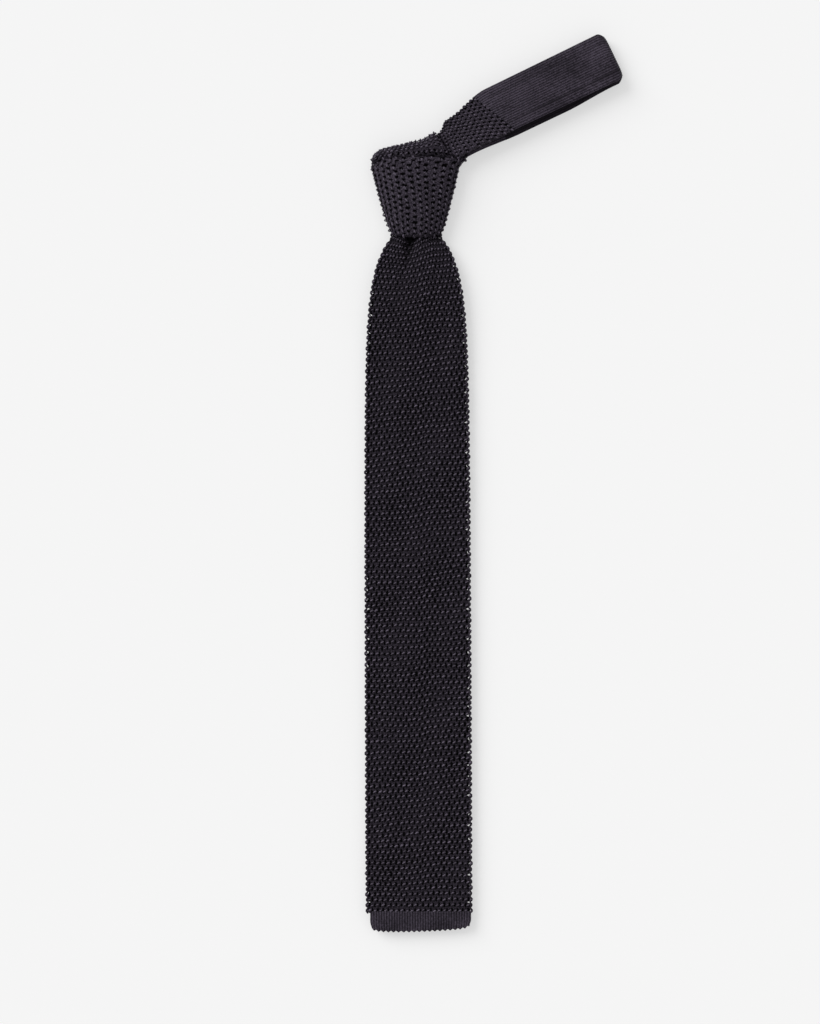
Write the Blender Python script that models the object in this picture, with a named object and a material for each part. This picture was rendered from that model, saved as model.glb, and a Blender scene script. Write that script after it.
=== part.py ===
# A knitted necktie, tied in a four-in-hand knot and laid on its back.
# Metres, +Z up. The knot's back rests on z = 0 with the origin under its middle, the blade runs along -Y,
# and the neck loop leaves the knot's upper right shoulder.
import math

import bmesh
import bpy
from mathutils import Vector

mm = 0.001
gap = 0.3 * mm  # air left between pieces that touch

# Blade and its hem
blade_half_width = 30.0 * mm
blade_thickness = 2.6 * mm
blade_top_y = -27.6 * mm
blade_end_y = -408.5 * mm
hem_end_y = -418.8 * mm
hem_thickness = 2.2 * mm
blade_rest_z = 6.05 * mm  # upper face of the blade where it lies flat
blade_throat_z = 8.8 * mm  # upper face of the blade where it leaves the knot
blade_lean = 1.6 * mm  # how far the blade's middle drifts sideways over its length
shoulder_narrowing = 13.5 * mm  # the part of the half width that is gathered at the knot
shoulder_run = 14.0 * mm
upper_narrowing = 2.65 * mm
upper_run = 60.0 * mm
blade_lift_run = 50.0 * mm
blade_arch = 1.0 * mm
blade_arch_run = 10.0 * mm
hem_inset = 1.6 * mm
hem_drop = 0.2 * mm
seam_top_y = -72.0 * mm
seam_half_width = 2.0 * mm
seam_thickness = 0.6 * mm

# Knot
knot_bottom_y = -27.3 * mm
knot_top_y = 17.0 * mm
knot_half_bottom = 13.9 * mm
knot_half_top = 26.3 * mm
knot_crest_bottom = 11.5 * mm
knot_crest_top = 16.0 * mm
knot_side_z = 2.5 * mm  # where the front wrap meets the back wrap
wrap_thickness = 2.4 * mm
back_wrap_thickness = 2.2 * mm
wrap_power = 2.2  # squareness of the wrap's arched section
back_wrap_low_y = -25.0 * mm
back_wrap_high_y = 14.0 * mm
back_wrap_inset = 1.0 * mm
top_wrap_left_x = -24.5 * mm
top_wrap_right_x = 10.0 * mm
top_wrap_reach = 22.2 * mm  # how far its left end stands above the knot's middle
top_wrap_rise = 0.25  # its upper edge climbs by this much for each millimetre to the right
top_wrap_crest_z = 14.6 * mm
top_wrap_crest_x = -4.0 * mm
top_wrap_sag = 0.008 / mm
top_wrap_low_z = 0.35 * mm
top_wrap_thickness = 1.9 * mm
throat_clearance = 0.5 * mm
throat_thickness = 2.2 * mm
throat_cosine = 0.62  # share of the knot's half width that the throat fills
throat_high_y = 12.0 * mm
core_clearance = 0.6 * mm
core_low_y = -21.0 * mm
core_high_y = 13.0 * mm
core_stations = 7
core_points = 11

# Tail, behind the blade
tail_thickness = 1.9 * mm
tail_half_width = 23.0 * mm
tail_throat_half = 10.3 * mm  # gathered width in the knot's channel
tail_floor_z = 0.35 * mm
tail_channel_z = 2.5 * mm
tail_pivot_y = -38.6 * mm
tail_flare = 36.0 * mm
tail_mesh_start_y = -215.0 * mm
tail_mesh_end_y = -384.0 * mm
tail_hem_end_y = -392.0 * mm
tail_hem_inset = 1.2 * mm
tail_strand_top_y = 16.0 * mm

# Neck loop
loop_origin = Vector((16.65 * mm, 31.03 * mm, 0.0))
loop_angle = math.radians(25.6)
loop_first = 1.5 * mm  # where the legs begin, measured along the loop
loop_last = 96.4 * mm  # where the bend begins
loop_upper_edge = 13.5 * mm
loop_lower_edge = -14.3 * mm
loop_spread = 0.009  # the edges part by this share of the distance on each side
loop_shoulder = 7.6 * mm  # the upper edge starts this much lower at the knot
loop_hip = 2.0 * mm  # and the lower edge this much lower
loop_settle = 12.0 * mm  # distance over which both fade
loop_thickness = 2.1 * mm
loop_upper_z = 9.6 * mm  # upper face of the upper leg at the bend
loop_knot_z = 11.0 * mm  # upper face of the upper leg at the knot
loop_slope_run = 78.0 * mm
loop_mesh_end = 30.0 * mm
loop_lower_shift = 2.4 * mm  # the lower leg peeps out beyond the upper one

finishes = {
    "mesh_knit": ((0.021, 0.019, 0.023), 0.72),
    "fine_rib_knit": ((0.026, 0.023, 0.030), 0.78),
    "seam_thread": ((0.014, 0.013, 0.016), 0.6),
}


def clear_scene():
    for thing in list(bpy.data.objects):
        bpy.data.objects.remove(thing, do_unlink=True)


def finish_material(name):
    material = bpy.data.materials.get(name)
    if material:
        return material
    colour, roughness = finishes[name]
    material = bpy.data.materials.new(name)
    material.use_nodes = True
    shader = material.node_tree.nodes["Principled BSDF"]
    shader.inputs["Base Color"].default_value = (*colour, 1.0)
    shader.inputs["Roughness"].default_value = roughness
    shader.inputs["Metallic"].default_value = 0.0
    return material


def pivot(name, place, parent=None):
    # An empty on a joint's axis; the moving pieces hang from it.
    empty = bpy.data.objects.new(name, None)
    bpy.context.collection.objects.link(empty)
    empty.empty_display_size = 10 * mm
    empty["place"] = place
    empty.parent = parent
    empty.location = Vector(place) - Vector(parent["place"] if parent else (0, 0, 0))
    return empty


def add_piece(name, bm, finish, parent):
    bmesh.ops.translate(bm, verts=bm.verts, vec=-Vector(parent["place"]))
    mesh = bpy.data.meshes.new(name)
    bm.to_mesh(mesh)
    bm.free()
    mesh.materials.append(finish_material(finish))
    mesh.shade_smooth()
    mesh.set_sharp_from_angle(angle=math.radians(40))
    piece = bpy.data.objects.new(name, mesh)
    bpy.context.collection.objects.link(piece)
    piece.parent = parent
    return piece


def strip(name, surface, across, along, thickness, finish, parent):
    # A flat grid bent onto surface(u, v), with u across and v along, both 0 to 1, then thickened inwards.
    bm = bmesh.new()
    bmesh.ops.create_grid(bm, x_segments=across, y_segments=along, size=0.5)
    for vert in bm.verts:
        vert.co = surface(vert.co.x + 0.5, vert.co.y + 0.5)
    piece = add_piece(name, bm, finish, parent)
    wall = piece.modifiers.new("Thickness", "SOLIDIFY")
    wall.thickness = thickness
    wall.offset = -1.0
    wall.use_even_offset = True
    return piece


def mix(a, b, share):
    return a + (b - a) * share


# Outlines and sections


def blade_half(y):
    # The blade widens quickly below the knot, then settles at its full width.
    down = blade_top_y - y
    shoulder = shoulder_narrowing * math.exp(-down / shoulder_run)
    return blade_half_width - shoulder - upper_narrowing * math.exp(-down / upper_run)


def blade_middle(y):
    run = (blade_top_y - y) / (blade_top_y - blade_end_y)
    return blade_lean * (run - 0.55)


def blade_upper_z(y, across):
    # Lifted and arched at the throat, flat further down.
    down = blade_top_y - y
    lift = (blade_throat_z - blade_rest_z) * math.exp(-((down / blade_lift_run) ** 2))
    arch = blade_arch * math.exp(-down / blade_arch_run) * across**2
    return blade_rest_z + lift - arch


def blade_point(u, y, drop=0.0):
    across = 2 * u - 1
    return Vector((
        blade_middle(y) + across * blade_half(y),
        y,
        blade_upper_z(y, across) - drop,
    ))


def knot_share(y):
    return (y - knot_bottom_y) / (knot_top_y - knot_bottom_y)


def knot_half(y):
    return mix(knot_half_bottom, knot_half_top, knot_share(y) ** 0.95)


def knot_crest(y):
    # Rises from the lower lip to its highest a little above the middle.
    return mix(knot_crest_bottom, knot_crest_top, math.sin(knot_share(y) * math.pi * 0.55))


def wrap_point(angle, y, inset=0.0):
    # A squarish arch from the left side over the crest to the right side, drawn in by inset.
    half = knot_half(y) - inset
    rise = knot_crest(y) - knot_side_z - inset
    cosine = math.cos(angle)
    sine = max(math.sin(angle), 0.0)
    return Vector((
        -half * math.copysign(abs(cosine) ** (2 / wrap_power), cosine),
        y,
        knot_side_z + rise * sine ** (2 / wrap_power),
    ))


# Pieces of the knot


def make_front_wrap(parent):
    def surface(u, v):
        return wrap_point(math.pi * u, mix(knot_bottom_y, knot_top_y, v))

    return strip("knot_front_wrap", surface, 20, 8, wrap_thickness, "mesh_knit", parent)


def make_back_wrap(parent):
    def surface(u, v):
        y = mix(back_wrap_low_y, back_wrap_high_y, v)
        return Vector(((2 * u - 1) * (knot_half(y) - back_wrap_inset), y, back_wrap_thickness))

    return strip("knot_back_wrap", surface, 2, 4, back_wrap_thickness, "mesh_knit", parent)


def make_top_wrap(parent):
    # Rolls over the top edge of the knot, from the front crease round to the back.
    def surface(u, v):
        x = mix(top_wrap_left_x, top_wrap_right_x, u)
        reach = top_wrap_reach + top_wrap_rise * (x - top_wrap_left_x)
        crest = top_wrap_crest_z - top_wrap_sag * (x - top_wrap_crest_x) ** 2
        turn = math.pi * v
        low = top_wrap_low_z
        middle_z = (crest + low) / 2
        start_y = knot_top_y + gap
        return Vector((
            x,
            start_y + (reach - start_y) * math.sin(turn) ** 0.8,
            middle_z + (crest - low) / 2 * math.cos(turn),
        ))

    return strip("knot_top_wrap", surface, 8, 12, top_wrap_thickness, "mesh_knit", parent)


def make_throat(parent):
    # The strand that comes down through the front wrap and becomes the blade.
    def surface(u, v):
        y = mix(knot_bottom_y, throat_high_y, v)
        side = math.acos(throat_cosine)
        return wrap_point(mix(side, math.pi - side, u), y, wrap_thickness + throat_clearance)

    return strip("blade_throat", surface, 8, 6, throat_thickness, "mesh_knit", parent)


def make_core(parent):
    # The crossing layers in the middle of the knot: a loaf between the tail's channel and the throat.
    floor_z = tail_channel_z + tail_thickness + gap
    inset = wrap_thickness + throat_clearance + throat_thickness + core_clearance
    last = core_stations - 1
    stations = [mix(core_low_y, core_high_y, step / last) for step in range(core_stations)]
    bm = bmesh.new()
    rings = []
    for y in stations:
        rise = knot_crest(y) - knot_side_z - inset
        start = math.asin(((floor_z - knot_side_z) / rise) ** (wrap_power / 2))
        turns = [mix(start, math.pi - start, step / (core_points - 1)) for step in range(core_points)]
        verts = [bm.verts.new(wrap_point(turn, y, inset)) for turn in turns]
        rings.append([bm.edges.new((a, b)) for a, b in zip(verts, verts[1:] + verts[:1])])
    for low, high in zip(rings, rings[1:]):
        bmesh.ops.bridge_loops(bm, edges=low + high)
    bmesh.ops.contextual_create(bm, geom=rings[0])
    bmesh.ops.contextual_create(bm, geom=rings[-1])
    bmesh.ops.recalc_face_normals(bm, faces=bm.faces)
    return add_piece("knot_core", bm, "mesh_knit", parent)


# Blade


def make_blade(parent):
    def surface(u, v):
        # Rows are close together at the throat and far apart on the flat run.
        y = mix(blade_top_y, blade_end_y, (1 - v) ** 1.8)
        return blade_point(u, y)

    return strip("blade", surface, 8, 22, blade_thickness, "mesh_knit", parent)


def make_blade_hem(parent):
    # Slightly narrower than the blade, with rounded lower corners.
    def surface(u, v):
        y = mix(hem_end_y, blade_end_y - gap, v)
        corner = 1 - 0.06 * max(0.0, 1 - v * 2.5) ** 2
        across = (2 * u - 1) * corner
        half = blade_half_width - hem_inset
        return Vector((blade_middle(y) + across * half, y, blade_rest_z - hem_drop))

    return strip("blade_hem", surface, 10, 4, hem_thickness, "fine_rib_knit", parent)


def make_back_seam(parent):
    # The closing seam down the middle of the blade's back.
    def surface(u, v):
        y = mix(blade_end_y, seam_top_y, v)
        x = blade_middle(y) + (2 * u - 1) * seam_half_width
        return Vector((x, y, blade_upper_z(y, 0) - blade_thickness - gap))

    return strip("blade_back_seam", surface, 1, 14, seam_thickness, "seam_thread", parent)


# Tail


def tail_half(y):
    # A round end about the pivot, then a flare to the full width.
    above = y - tail_pivot_y
    if above > 0:
        return math.sqrt(max(tail_throat_half**2 - above**2, 0.0))
    share = min(-above / tail_flare, 1.0)
    return mix(tail_throat_half, tail_half_width, share * share * (3 - 2 * share))


def make_tail_strand(parent):
    # The gathered strand that runs through the knot.
    def surface(u, v):
        y = mix(knot_bottom_y - gap, tail_strand_top_y, v)
        return Vector(((2 * u - 1) * tail_throat_half, y, tail_channel_z + tail_thickness))

    return strip("tail_strand", surface, 2, 2, tail_thickness, "fine_rib_knit", parent)


def make_tail_neck(parent):
    top_y = tail_pivot_y + tail_throat_half * 0.985

    def surface(u, v):
        y = mix(tail_mesh_start_y + gap, top_y, 1 - (1 - v) ** 2)
        return Vector(((2 * u - 1) * tail_half(y), y, tail_floor_z + tail_thickness))

    return strip("tail_fine_panel", surface, 4, 18, tail_thickness, "fine_rib_knit", parent)


def make_tail_mesh(parent):
    def surface(u, v):
        y = mix(tail_mesh_end_y + gap, tail_mesh_start_y, v)
        return Vector(((2 * u - 1) * tail_half_width, y, tail_floor_z + tail_thickness))

    return strip("tail_mesh_panel", surface, 4, 6, tail_thickness, "mesh_knit", parent)


def make_tail_hem(parent):
    def surface(u, v):
        y = mix(tail_hem_end_y, tail_mesh_end_y, v)
        half = tail_half_width - tail_hem_inset
        return Vector(((2 * u - 1) * half, y, tail_floor_z + tail_thickness))

    return strip("tail_hem", surface, 4, 2, tail_thickness, "fine_rib_knit", parent)


# Neck loop


def loop_direction():
    return Vector((math.cos(loop_angle), math.sin(loop_angle), 0.0))


def loop_side():
    return Vector((math.sin(loop_angle), -math.cos(loop_angle), 0.0))


def loop_edges(distance):
    # Both edges run nearly straight and fall away exponentially towards the knot.
    fade = math.exp(-distance / loop_settle)
    spread = loop_spread * distance
    upper = loop_upper_edge + spread - loop_shoulder * fade
    lower = loop_lower_edge - spread - loop_hip * fade
    return upper, lower


def loop_point(distance, across, height, shift=0.0):
    upper, lower = loop_edges(distance)
    aside = mix(lower, upper, (1 - across) / 2) - shift
    place = loop_origin + loop_direction() * distance - loop_side() * aside
    place.z = height
    return place


def upper_leg_z(distance):
    return mix(loop_knot_z, loop_upper_z, min(distance / loop_slope_run, 1.0))


def make_loop_mesh(parent):
    def surface(u, v):
        distance = mix(loop_first, loop_mesh_end, v)
        return loop_point(distance, 2 * u - 1, upper_leg_z(distance))

    return strip("neckband_mesh_strap", surface, 4, 6, loop_thickness, "mesh_knit", parent)


def make_loop_upper(parent):
    def surface(u, v):
        distance = mix(loop_mesh_end + gap, loop_last, v)
        return loop_point(distance, 2 * u - 1, upper_leg_z(distance))

    return strip("neckband_upper_leg", surface, 4, 9, loop_thickness, "fine_rib_knit", parent)


def make_loop_lower(parent):
    def surface(u, v):
        distance = mix(loop_first, loop_last, v)
        height = tail_floor_z + tail_thickness
        return loop_point(distance, 2 * u - 1, height, loop_lower_shift)

    return strip("neckband_lower_leg", surface, 4, 12, tail_thickness, "fine_rib_knit", parent)


def make_loop_bend(parent):
    # A half turn that joins the two legs at the far end.
    radius = (loop_upper_z - tail_floor_z) / 2

    def surface(u, v):
        turn = math.pi * v
        place = loop_point(loop_last, 2 * u - 1, 0.0, loop_lower_shift * v)
        place += loop_direction() * (gap + radius * math.sin(turn))
        place.z = tail_floor_z + radius + radius * math.cos(turn)
        return place

    return strip("neckband_bend", surface, 4, 14, loop_thickness, "fine_rib_knit", parent)


def main():
    clear_scene()
    knot = pivot("knot_frame", (0.0, 0.0, 0.0))
    make_front_wrap(knot)
    make_back_wrap(knot)
    make_top_wrap(knot)
    make_throat(knot)
    make_core(knot)

    blade = pivot("blade_hinge", (0.0, blade_top_y, blade_throat_z), knot)
    make_blade(blade)
    make_blade_hem(blade)
    make_back_seam(blade)

    strand = pivot("tail_slider", (0.0, 0.0, tail_channel_z), knot)
    make_tail_strand(strand)
    tail = pivot("tail_hinge", (0.0, tail_pivot_y, tail_floor_z), strand)
    make_tail_neck(tail)
    make_tail_mesh(tail)
    make_tail_hem(tail)

    loop = pivot("loop_hinge", tuple(loop_point(loop_first, 0.0, loop_knot_z)), knot)
    make_loop_mesh(loop)
    make_loop_upper(loop)
    make_loop_lower(loop)
    make_loop_bend(pivot("bend_slider", tuple(loop_point(loop_last, 0.0, loop_upper_z)), loop))


main()
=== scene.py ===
import math

import bpy
import numpy as np
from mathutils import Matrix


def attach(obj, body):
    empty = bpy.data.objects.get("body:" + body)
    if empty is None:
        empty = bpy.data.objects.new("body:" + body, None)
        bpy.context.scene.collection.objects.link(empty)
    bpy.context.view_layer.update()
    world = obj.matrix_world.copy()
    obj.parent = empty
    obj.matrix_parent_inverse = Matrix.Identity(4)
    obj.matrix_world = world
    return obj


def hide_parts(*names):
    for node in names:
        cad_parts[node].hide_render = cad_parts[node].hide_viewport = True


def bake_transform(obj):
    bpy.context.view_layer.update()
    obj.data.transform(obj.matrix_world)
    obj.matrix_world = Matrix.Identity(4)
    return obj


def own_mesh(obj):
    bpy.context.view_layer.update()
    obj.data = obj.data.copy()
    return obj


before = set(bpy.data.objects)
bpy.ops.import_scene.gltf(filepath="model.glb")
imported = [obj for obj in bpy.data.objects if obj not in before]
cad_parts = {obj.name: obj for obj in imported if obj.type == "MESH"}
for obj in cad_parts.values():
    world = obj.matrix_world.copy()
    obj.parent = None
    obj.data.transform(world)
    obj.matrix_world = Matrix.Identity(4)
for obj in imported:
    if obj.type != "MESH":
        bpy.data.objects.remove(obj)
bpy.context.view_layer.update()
mm = 0.001
chance = np.random.default_rng(41)  # one seeded source for every small irregularity

stage = {
    "viewMiddle": (-4.5 * mm, -182.0 * mm),  # what the camera looks straight down at
    "viewHeight": 579.6 * mm,  # how much of the floor the view takes in
    "cameraUp": 1.9,
    "cameraFar": 20.0,
    "sensor": 36.0,
    "floorHalf": 4.0,
    "floorColour": (0.42, 0.42, 0.42),
    "floorRoughness": 0.9,
    "floorGlow": 0.475,  # the table gives off light of its own, which keeps the shadows pale
    "skyStrength": 0.62,
    "keyStrength": 2.48,
    "keyPlace": (-1.0, 0.80, 0.82),
    "keySpread": math.radians(42),
    "white": (1.0, 1.0, 1.0, 1.0),
}


def aimAt(thing, target):
    # turns a lamp so that its -Z axis points from its place to the target
    way = np.array(target, float) - np.array(thing.location, float)
    flat = math.hypot(way[0], way[1])
    thing.rotation_euler = (math.atan2(flat, -way[2]), 0.0, math.atan2(way[1], way[0]) - math.pi / 2)


def makeCamera():
    # the lens is sensor x distance / view height, so the view takes in exactly that height
    data = bpy.data.cameras.new("viewCamera")
    camera = bpy.data.objects.new("viewCamera", data)
    bpy.context.collection.objects.link(camera)
    data.sensor_width = stage["sensor"]
    data.lens = stage["sensor"] * stage["cameraUp"] / stage["viewHeight"]
    camera.location = (*stage["viewMiddle"], stage["cameraUp"])
    data.clip_end = stage["cameraFar"]
    bpy.context.scene.camera = camera


def makeFloor():
    # one square on the table's level
    mesh = bpy.data.meshes.new("floor")
    half = stage["floorHalf"]
    corners = [(-half, -half, 0), (half, -half, 0), (half, half, 0), (-half, half, 0)]
    mesh.from_pydata(corners, [], [(0, 1, 2, 3)])
    floor = bpy.data.objects.new("floor", mesh)
    bpy.context.collection.objects.link(floor)
    material = bpy.data.materials.new("paleTable")
    material.use_nodes = True
    shader = material.node_tree.nodes["Principled BSDF"]
    shader.inputs["Base Color"].default_value = (*stage["floorColour"], 1.0)
    shader.inputs["Roughness"].default_value = stage["floorRoughness"]
    shader.inputs["Specular IOR Level"].default_value = 0.0
    shader.inputs["Emission Color"].default_value = stage["white"]
    shader.inputs["Emission Strength"].default_value = stage["floorGlow"]
    mesh.materials.append(material)


def makeLight():
    # an even white sky and one broad lamp from the upper left
    world = bpy.data.worlds.new("studioAir")
    world.use_nodes = True
    sky = world.node_tree.nodes["Background"]
    sky.inputs["Color"].default_value = stage["white"]
    sky.inputs["Strength"].default_value = stage["skyStrength"]
    bpy.context.scene.world = world
    lamp = bpy.data.lights.new("softbox", "SUN")
    lamp.angle = stage["keySpread"]
    lamp.energy = stage["keyStrength"]
    key = bpy.data.objects.new("softbox", lamp)
    bpy.context.collection.objects.link(key)
    key.location = stage["keyPlace"]
    aimAt(key, (0.0, 0.0, 0.0))
    bpy.context.scene.view_settings.view_transform = "Standard"


makeCamera()
makeFloor()
makeLight()
print("stage: camera, floor and light are set")

yarn = {
    # dull colour and lit colour (painted light), and shine, of each yarn
    "mesh": ((0.029, 0.0242, 0.0332), (0.150, 0.126, 0.171), 0.22),
    "wrap": ((0.026, 0.0217, 0.0297), (0.125, 0.104, 0.143), 0.14),
    "edge": ((0.009, 0.0075, 0.0103), (0.044, 0.0366, 0.0500), 0.06),
    "thread": ((0.012, 0.011, 0.014), (0.026, 0.024, 0.029), 0.2),
    "roughness": 0.6,
    "plyTurns": 0.9,  # turns of the ply for each millimetre of yarn
    "plyShare": 0.22,  # how much the ply's ridges show in the colour
    "dullToLit": (0.25, 0.85),  # tones of mottle and ply ridge between which the dull colour turns into the lit one: random mottle, and painted light on the ridges
    "mottleScale": 420.0,
    "fibreScale": 2600.0,
    "bump": 0.12 * mm,
    "hollowShade": (0.0005, 0.0004, 0.0006),  # painted shade: the near black that shows down in a hole and on shaded yarn and cloth
}
cloth = {
    # middle and light colour, hole threshold, powers that widen and shorten a hole, and strength of the
    # shade line
    "mesh": ((0.0108, 0.0090, 0.0123), (0.0350, 0.0292, 0.0400), 0.50, 1.0, 1.0, 0.45),
    "wrap": ((0.0150, 0.0125, 0.0172), (0.0660, 0.0550, 0.0752), 0.58, 0.34, 2.2, 0.25),
    "wander": ((330.0, 0.55), (410.0, 0.40)),  # noise scale and reach along u and along v
    "sizeWander": (240.0, 0.5),  # noise scale and spread of the hole's threshold
    "opening": 0.3,  # how far the wide attribute lowers the threshold
    "rim": 0.22,  # how softly a hole begins
    "lineRow": 0.40,  # how far the shade line lies below the bar, in courses
    "lineTones": (0.55, 1.0),
    "fibreScale": 1500.0,
    "fibreTones": (0.38, 0.66),
    "bump": 0.45 * mm,
    "shine": 0.03,
}
rib = {
    # groove and crest colours: painted shade in the grooves and painted light on the crests
    "groove": (0.0075, 0.0062, 0.0088),
    "crest": (0.0700, 0.0580, 0.0805),
    "veeLift": 0.22,
    "ribLift": 0.4,
    "tone": (0.5, 0.45),  # slope and start of the painted light and shade over the height
    "patch": (60.0, 0.55),  # noise scale and strength of the broad patches
    "fuzz": (1100.0, 1.3),  # and of the fibres
    "bump": 0.15 * mm,
    "shine": 0.06,
}


def startMaterial(name):
    material = bpy.data.materials.new(name)
    material.use_nodes = True
    tree = material.node_tree
    return material, tree, tree.nodes["Principled BSDF"]


def feed(tree, socket, value):
    # a number is set on the socket, and anything else is linked to it
    if isinstance(value, (int, float)):
        socket.default_value = value
    else:
        tree.links.new(value, socket)


def reckon(tree, operation, *values):
    # one math node
    node = tree.nodes.new("ShaderNodeMath")
    node.operation = operation
    for socket, value in zip(node.inputs, values):
        feed(tree, socket, value)
    return node.outputs[0]


def plus(tree, a, b):
    return reckon(tree, "ADD", a, b)


def minus(tree, a, b):
    return reckon(tree, "SUBTRACT", a, b)


def times(tree, a, b):
    return reckon(tree, "MULTIPLY", a, b)


def timesPlus(tree, a, b, c):
    return reckon(tree, "MULTIPLY_ADD", a, b, c)


def cosine(tree, a):
    return reckon(tree, "COSINE", a)


def ease(tree, value, low, high):
    # 0 below low, 1 above high, an even S curve between
    node = tree.nodes.new("ShaderNodeMapRange")
    node.interpolation_type = "SMOOTHSTEP"
    feed(tree, node.inputs["Value"], value)
    feed(tree, node.inputs["From Min"], low)
    feed(tree, node.inputs["From Max"], high)
    return node.outputs["Result"]


def cloud(tree, scale, detail=2.0):
    # noise over the piece's own space
    place = tree.nodes.new("ShaderNodeTexCoord")
    noise = tree.nodes.new("ShaderNodeTexNoise")
    noise.inputs["Scale"].default_value = scale
    noise.inputs["Detail"].default_value = detail
    tree.links.new(place.outputs["Object"], noise.inputs["Vector"])
    return noise.outputs["Fac"]


def swing(tree, scale, reach, detail=2.0):
    # noise about zero: (noise - 1/2) x reach
    return times(tree, minus(tree, cloud(tree, scale, detail), 0.5), reach)


def blendColours(tree, share, first, second):
    # first where share is 0, second where it is 1
    node = tree.nodes.new("ShaderNodeMix")
    node.data_type = "RGBA"
    tree.links.new(share, node.inputs[0])
    for socket, value in ((node.inputs[6], first), (node.inputs[7], second)):
        if isinstance(value, tuple):
            socket.default_value = (*value, 1.0)
        else:
            tree.links.new(value, socket)
    return node.outputs[2]


def readUv(tree):
    layer = tree.nodes.new("ShaderNodeUVMap")
    layer.uv_map = "strand"
    split = tree.nodes.new("ShaderNodeSeparateXYZ")
    tree.links.new(layer.outputs["UV"], split.inputs[0])
    return split.outputs["X"], split.outputs["Y"]


def readShade(tree, name="shade"):
    layer = tree.nodes.new("ShaderNodeAttribute")
    layer.attribute_name = name
    return layer.outputs["Fac"]


def finishShader(tree, shader, colour, height, distance, shine, strength=0.6):
    bump = tree.nodes.new("ShaderNodeBump")
    bump.inputs["Strength"].default_value = strength
    bump.inputs["Distance"].default_value = distance
    tree.links.new(height, bump.inputs["Height"])
    tree.links.new(bump.outputs["Normal"], shader.inputs["Normal"])
    tree.links.new(colour, shader.inputs["Base Color"])
    shader.inputs["Roughness"].default_value = yarn["roughness"]
    shader.inputs["Specular IOR Level"].default_value = shine


def twistedYarn(name, dull, lit, shine):
    # A plied yarn. Ridges: sin(turns along + twice round the strand). Colour: a dull and a lit copy of the
    # yarn mixed by noise plus ridges, which is random mottle and painted light on the ridges; painted shade
    # darkens it where the shade attribute says that the strand dives into the fabric, where its shine fades
    # too.
    material, tree, shader = startMaterial(name)
    along, around = readUv(tree)
    turn = timesPlus(tree, along, yarn["plyTurns"] * 2 * math.pi, times(tree, around, 4 * math.pi))
    ridge = reckon(tree, "SINE", turn)
    tone = timesPlus(tree, ridge, yarn["plyShare"], cloud(tree, yarn["mottleScale"], 3.0))
    mottledLit = blendColours(tree, ease(tree, tone, *yarn["dullToLit"]), dull, lit)
    colour = blendColours(tree, readShade(tree), yarn["hollowShade"], mottledLit)
    height = timesPlus(tree, ridge, 0.5, cloud(tree, yarn["fibreScale"]))
    finishShader(tree, shader, colour, height, yarn["bump"], shine)
    tree.links.new(times(tree, readShade(tree), shine), shader.inputs["Specular IOR Level"])
    return material


def signedPower(tree, value, power):
    # |value| to the power, with the sign of value
    size = reckon(tree, "POWER", reckon(tree, "ABSOLUTE", value), power)
    return times(tree, reckon(tree, "SIGN", value), size)


def knitCloth(name, middle, light, size, broad, short, line):
    # The meshed face under the bars. With u in courses and v in stitches, cos(2 pi (v - 3/4)) cos(pi u) is
    # 1 at the holes, which stand half a stitch aside in every other course, and -1 under the bars; a hole
    # is where it is above a threshold that wanders a little, and is painted near black as painted shade. The
    # two cosines are raised to the powers broad and short, which widens a hole across and shortens it along.
    # A second, lower lattice paints a shade line below each bar as painted shadow. The shade attribute
    # darkens the rest with painted shade.
    material, tree, shader = startMaterial(name)
    u, v = (timesPlus(tree, minus(tree, cloud(tree, scale), 0.5), much, axis)
            for (scale, much), axis in zip(cloth["wander"], readUv(tree)))
    sideways = cosine(tree, times(tree, minus(tree, v, 0.75), 2 * math.pi))
    level = cosine(tree, times(tree, u, math.pi))
    lattice = times(tree, signedPower(tree, sideways, broad), signedPower(tree, level, short))
    noiseScale, spread = cloth["sizeWander"]
    wandering = timesPlus(tree, cloud(tree, noiseScale), spread, size - spread / 2)
    limit = minus(tree, wandering, times(tree, readShade(tree, "wide"), cloth["opening"]))
    hole = ease(tree, lattice, limit, plus(tree, limit, cloth["rim"]))
    lowRow = cosine(tree, times(tree, minus(tree, u, cloth["lineRow"]), math.pi))
    shadeLine = ease(tree, times(tree, times(tree, sideways, -1.0), lowRow), *cloth["lineTones"])
    fibre = cloud(tree, cloth["fibreScale"], 3.0)
    knit = blendColours(tree, ease(tree, fibre, *cloth["fibreTones"]), middle, light)
    lined = blendColours(tree, times(tree, shadeLine, line), knit, yarn["hollowShade"])
    dimmed = blendColours(tree, readShade(tree), yarn["hollowShade"], lined)
    colour = blendColours(tree, hole, dimmed, yarn["hollowShade"])
    height = minus(tree, times(tree, fibre, 0.5), hole)
    finishShader(tree, shader, colour, height, cloth["bump"], cloth["shine"])
    return material


def ribCloth(name):
    # Fine knit. With u in courses and v in ribs, crests are cos(2 pi v) and the V stitches on them are cos(2
    # pi (u + |distance from the crest|)); both lift the bump and paint the colour: painted shade in the
    # grooves, painted light on the crests. The shade attribute multiplies in more painted shade.
    material, tree, shader = startMaterial(name)
    u, v = readUv(tree)
    crest = cosine(tree, times(tree, v, 2 * math.pi))
    aside = reckon(tree, "ABSOLUTE", minus(tree, reckon(tree, "FRACT", plus(tree, v, 0.5)), 0.5))
    vee = cosine(tree, times(tree, plus(tree, u, aside), 2 * math.pi))
    height = timesPlus(tree, vee, rib["veeLift"], times(tree, crest, rib["ribLift"]))
    patch = swing(tree, *rib["patch"])
    fuzz = swing(tree, *rib["fuzz"], 3.0)
    tone = plus(tree, timesPlus(tree, height, *rib["tone"]), plus(tree, patch, fuzz))
    shaded = times(tree, tone, readShade(tree))
    colour = blendColours(tree, ease(tree, shaded, 0.0, 1.0), rib["groove"], rib["crest"])
    finishShader(tree, shader, colour, plus(tree, height, fuzz), rib["bump"], rib["shine"])
    return material


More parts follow.
